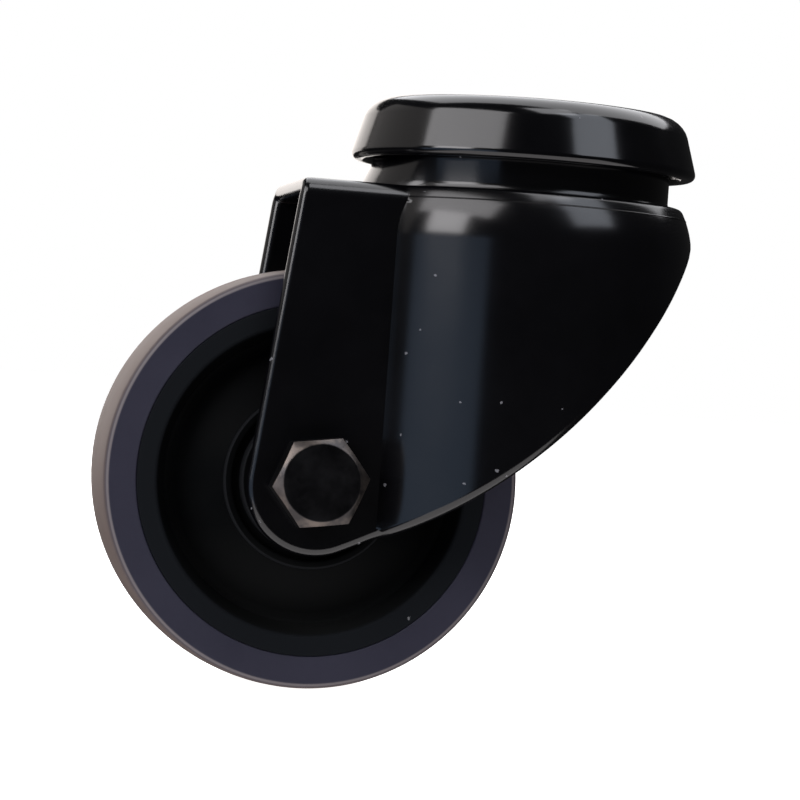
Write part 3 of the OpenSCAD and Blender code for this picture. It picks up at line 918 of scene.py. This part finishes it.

# %% [markdown]
# ### The tyre's rubber
# The rubber is a dark violet grey. The side is even and matt, and the tread is paler and browner, because
# it has been handled and has picked up dust. A pale line along its shoulder is a painted highlight of the
# rounded edge.

# %% Mix the rubber
tyre_rubber, tree, shader, place = new_finish("tyre_rubber", Specular_IOR_Level=0.25)
cloud = place_group(tree, clouding, place, Broad=110.0, Fine=1800.0)
tread = place_group(tree, bands, place, Inner=0.0242, Outer=0.03, Soft=0.0006)
even = clouded(tree, cloud, 0.0, 1.0)
side_tone = mix_colours(tree, even, (0.016, 0.0157, 0.0285), (0.0215, 0.021, 0.036))
tread_tone = mix_colours(tree, even, (0.13, 0.1, 0.09), (0.17, 0.135, 0.12))
tone = mix_colours(tree, tread.outputs["Mask"], side_tone, tread_tone)
# painted highlight: a narrow pale line along the tyre's rounded shoulder
shoulder = place_group(tree, bands, place, Inner=0.02395, Outer=0.02445, Soft=0.0002)
tone = mix_colours(tree, shoulder.outputs["Mask"], tone, (0.13, 0.115, 0.12))
tree.links.new(tone, shader.inputs["Base Color"])
tree.links.new(clouded(tree, cloud, 0.5, 0.66), shader.inputs["Roughness"])
add_bump(tree, shader, cloud.outputs["Height"], 0.25, 0.00004)
print("finish:", tyre_rubber.name)

# %% [markdown]
# ## Dressing the pieces
# The new pieces take the finish of their slot. The CAD nodes that still show, the balls, the lower race,
# the tube and the nylon ring, keep their mesh and get their finish in place of the frame's plain one.

# %% Give every piece its finish
finishes = {
    "black_paint": black_paint,
    "black_steel": black_steel,
    "plated_steel": plated_steel,
    "ball_steel": ball_steel,
    "nut_nylon": nut_nylon,
    "hub_plastic": hub_plastic,
    "tyre_rubber": tyre_rubber,
}
new_pieces = {
    "black_paint": [head_cap, fork, collar_ring],
    "black_steel": [axle_bolt, bolt_thread, axle_nut],
    "plated_steel": [kingpin_piece],
    "hub_plastic": [wheel_hub],
    "tyre_rubber": [tyre_piece],
}
for slot, pieces in new_pieces.items():
    for piece in pieces:
        piece.data.materials.append(finishes[slot])
for part in frame["record"]["subparts"]:
    node = frame["nodes"][part["node"]]
    node.data.materials.clear()
    node.data.materials.append(finishes[part["material_slot"]])
print("finishes in use:", len(finishes))

# %% [markdown]
# ## Floor and light
# The castor stands on a plain pale floor in soft studio light. A wide window at the left front, with a
# brighter sill below it, gives the broad patches on the head, the collar and the cup's shoulder, and a dim
# bluish wall under it gives the band on the cup. A softbox and a small skylight at the right make the
# narrow streaks and the long line along the head's shoulder. A ceiling behind, two panels at the left and a
# bounce from the table light the edges, the tread and the tyre. The rest stays dark, as gloss black needs.

# %% Lay the floor
floor_mesh = bpy.data.meshes.new("floor")
floor_bm = bmesh.new()
bmesh.ops.create_grid(floor_bm, x_segments=1, y_segments=1, size=6.0)
bmesh.ops.translate(floor_bm, verts=floor_bm.verts, vec=(0, 0, tyre_low.z))
floor_bm.to_mesh(floor_mesh)
floor_bm.free()
floor = bpy.data.objects.new("floor", floor_mesh)
bpy.context.scene.collection.objects.link(floor)
floor_paint = bpy.data.materials.new("floor_paint")
floor_paint.use_nodes = True
floor_shader = floor_paint.node_tree.nodes["Principled BSDF"]
floor_shader.inputs["Base Color"].default_value = (0.85, 0.85, 0.85, 1)
floor_shader.inputs["Roughness"].default_value = 0.9
floor_shader.inputs["Emission Color"].default_value = (1, 1, 1, 1)
floor_shader.inputs["Emission Strength"].default_value = 1.0
floor.visible_glossy = False
floor.visible_diffuse = False
floor.visible_shadow = False
floor_mesh.materials.append(floor_paint)
print(f"floor at z {tyre_low.z / MM:.1f} mm")

# %% Camera directions
VIEW_AZIMUTH = radians(-10.342)
VIEW_ELEVATION = radians(0.368)
VIEW_ROLL = radians(4.107)
VIEW_DISTANCE = 384.99
target = Vector((-13.106, 0, -36.375)) * MM
to_camera = Vector((sin(VIEW_AZIMUTH) * cos(VIEW_ELEVATION), -cos(VIEW_AZIMUTH) * cos(VIEW_ELEVATION),
                    sin(VIEW_ELEVATION)))
level_right = (-to_camera).cross(Vector((0, 0, 1))).normalized()
level_up = level_right.cross(-to_camera)


# %% Hang the softboxes
def softbox(name, side, height, distance, width, depth, power, colour=(1, 1, 1)):
    """Hangs an area light: side is degrees right of the camera, height is degrees above level."""
    ahead = to_camera * cos(radians(side)) + level_right * sin(radians(side))
    out = ahead * cos(radians(height)) + Vector((0, 0, 1)) * sin(radians(height))
    data = bpy.data.lights.new(name, "AREA")
    data.shape = "RECTANGLE"
    data.size = width
    data.size_y = depth
    data.energy = power
    data.color = colour
    light = bpy.data.objects.new(name, data)
    bpy.context.scene.collection.objects.link(light)
    across = Vector((0, 0, 1)).cross(out).normalized()
    facing = Matrix((across, out.cross(across), out)).transposed().to_4x4()
    light.matrix_world = Matrix.Translation(target + out * distance) @ facing
    light.visible_camera = False
    print(f"{name}: {power} W at side {side}, height {height}")


softbox("window", -48, 40, 0.9, 0.82, 0.34, 3.6, (1, 0.98, 1))
softbox("window_sill", -50, 19, 0.9, 0.42, 0.34, 3.2, (1, 0.98, 1))
softbox("front_wall", -45, -6, 0.8, 0.8, 0.34, 0.63, (0.52, 0.7, 1))
softbox("right_softbox", 52, 42, 0.8, 0.38, 0.5, 1.8, (0.85, 0.9, 1))
softbox("skylight", 30, 64, 0.8, 0.3, 0.32, 1.2, (0.96, 0.96, 1))
softbox("ceiling", 156, 62, 0.8, 1.2, 1.0, 10.0, (0.97, 0.97, 1))
softbox("left_panel", -105, 24, 0.8, 0.85, 0.5, 0.56, (1, 0.95, 0.92))
softbox("backdrop", -160, 10, 0.9, 0.7, 0.4, 1.6, (1, 0.94, 0.9))
softbox("table_bounce", 5, -62, 0.55, 1.4, 1.0, 7.0, (1, 0.96, 0.97))

# %% Set the surroundings
world = bpy.data.worlds.new("studio")
bpy.context.scene.world = world
world.use_nodes = True
sky = world.node_tree.nodes["Background"]
seen = add_node(world.node_tree, "ShaderNodeLightPath")
brightness = add_node(world.node_tree, "ShaderNodeMapRange")
world.node_tree.links.new(seen.outputs["Is Camera Ray"], brightness.inputs["Value"])
brightness.inputs["To Min"].default_value = 0.02
brightness.inputs["To Max"].default_value = 1.0
world.node_tree.links.new(brightness.outputs["Result"], sky.inputs["Strength"])
sky.inputs["Color"].default_value = (1, 1, 1, 1)
bpy.context.scene.view_settings.view_transform = "Standard"
print("surroundings set")

# %% [markdown]
# ## The camera
# The camera looks almost level at the castor from a little to the left of the axle's line, with a long lens
# and a slight roll, because the castor leaned a little in the picture. Its numbers come from
# fitting known points of the model, such as the wheel's circles and the head's rim, to the photograph.

# %% Set the camera
right = level_right * cos(VIEW_ROLL) + level_up * sin(VIEW_ROLL)
up = level_up * cos(VIEW_ROLL) - level_right * sin(VIEW_ROLL)
camera_data = bpy.data.cameras.new("camera")
camera_data.sensor_width = 36.0
camera_data.lens = 142.877
camera = bpy.data.objects.new("camera", camera_data)
bpy.context.scene.collection.objects.link(camera)
turned = Matrix((right, up, to_camera)).transposed().to_4x4()
camera.matrix_world = Matrix.Translation(target + to_camera * VIEW_DISTANCE * MM) @ turned
bpy.context.scene.camera = camera
print("camera at", [round(value / MM, 1) for value in camera.location])
